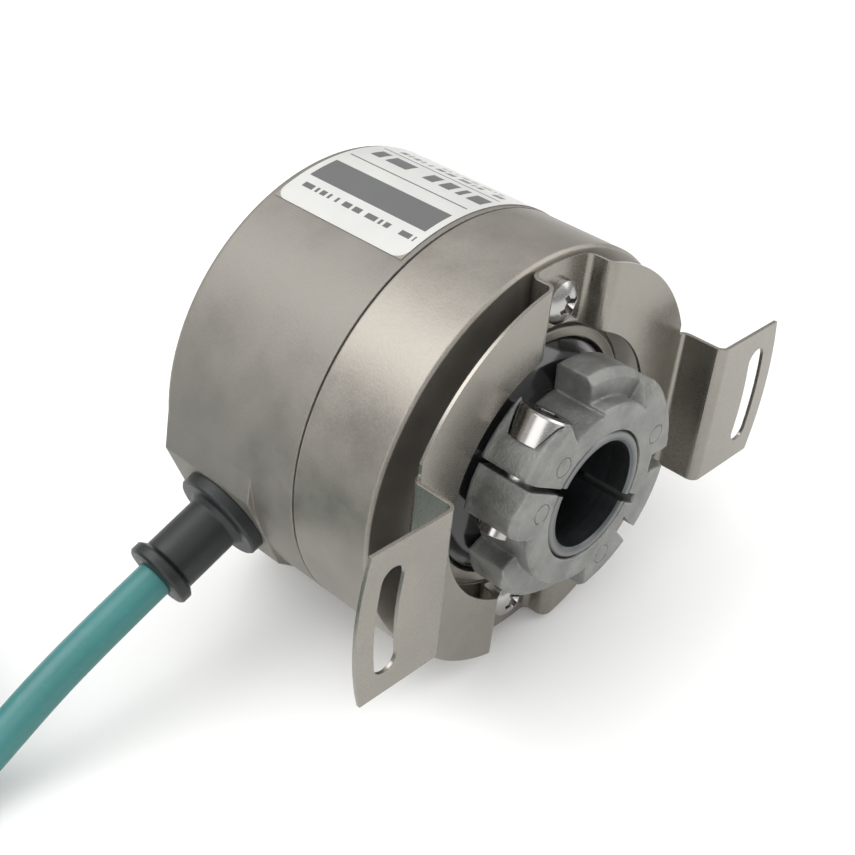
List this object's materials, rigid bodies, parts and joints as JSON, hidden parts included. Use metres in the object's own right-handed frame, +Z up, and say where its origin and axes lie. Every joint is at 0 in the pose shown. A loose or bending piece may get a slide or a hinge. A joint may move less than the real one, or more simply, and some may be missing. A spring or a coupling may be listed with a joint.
{
  "type": "rotary encoder",
  "caption": "Hollow-shaft incremental rotary encoder with a clamping hub, a spring-steel stator coupling with slotted ears, and a moulded-gland cable ending in a round plug.",
  "frame": {"origin": "on the shaft axis, in the plane of the flange's front face", "axes": "-Y along the shaft axis towards the clamping hub, +Z up with the encoder lying on its housing, the cable leaving towards -X"},
  "size_m": [0.1852, 0.1093, 0.0581],
  "materials": {
    "cast_housing": "satin",
    "spring_steel": "brushed",
    "hub_casting": "satin",
    "turned_steel": "turned",
    "zinc_screw": "zinc plated",
    "black_seal": "smooth",
    "black_plastic": "moulded",
    "cable_jacket": "extruded",
    "label_foil": "printed",
    "bearing_steel": "polished",
    "brass_part": "turned",
    "board_green": "lacquered",
    "disc_glass": "clear",
    "header_white": "moulded",
    "wire_red": "extruded",
    "nickel_brass": "nickel plated"
  },
  "bodies": {
    "housing": {"rear_cover": "cast_housing", "front_flange": "cast_housing", "label": "label_foil", "cover_o_ring": "black_seal", "cover_screws": "zinc_screw", "rear_seal": "black_seal", "stator_coupling": "spring_steel", "coupling_screws": "zinc_screw", "front_bearing_outer": "bearing_steel", "rear_bearing_outer": "bearing_steel", "bearing_spacer": "turned_steel", "wave_washer": "spring_steel", "emitter_block": "black_plastic", "sensor_chip": "black_plastic", "reticle": "disc_glass", "circuit_board": "board_green", "board_parts": "black_plastic", "board_header": "header_white", "front_pillars": "brass_part", "rear_pillars": "brass_part", "cable_gland": "black_plastic", "gland_nut": "black_plastic", "lead_wires": "wire_red", "cable_lead": "cable_jacket", "cable_coil": "cable_jacket", "cable_tail": "cable_jacket", "coil_ties": "black_plastic", "connector_body": "black_plastic", "connector_pins": "brass_part"},
    "shaft": {"hollow_shaft": "turned_steel", "clamp_hub": "hub_casting", "clamp_screw": "zinc_screw", "shaft_seal": "black_seal", "front_bearing_inner": "bearing_steel", "rear_bearing_inner": "bearing_steel", "shaft_ring": "spring_steel", "disc_hub": "turned_steel", "code_disc": "disc_glass", "disc_clamp": "turned_steel"},
    "front_ball_set": {"front_balls": "bearing_steel", "front_cage": "brass_part"},
    "rear_ball_set": {"rear_balls": "bearing_steel", "rear_cage": "brass_part"},
    "plug_nut": {"connector_nut": "nickel_brass"}
  },
  "joints": [
    {"name": "shaft_spin", "type": "hinge", "parent": "housing", "child": "shaft", "pos_m": [0, 0, 0], "axis": [0, -1, 0], "continuous": true},
    {"name": "front_balls_spin", "type": "hinge", "parent": "housing", "child": "front_ball_set", "pos_m": [0, 0.004, 0], "axis": [0, -1, 0], "continuous": true},
    {"name": "rear_balls_spin", "type": "hinge", "parent": "housing", "child": "rear_ball_set", "pos_m": [0, 0.012, 0], "axis": [0, -1, 0], "continuous": true},
    {"name": "plug_nut_spin", "type": "hinge", "parent": "housing", "child": "plug_nut", "pos_m": [-0.10709, 0.03131, -0.005], "axis": [-0.788, 0.6157, 0], "continuous": true}
  ],
  "couplings": [
    {"joint": "front_balls_spin", "follows": "shaft_spin", "ratio": 0.4574},
    {"joint": "rear_balls_spin", "follows": "shaft_spin", "ratio": 0.4574}
  ]
}
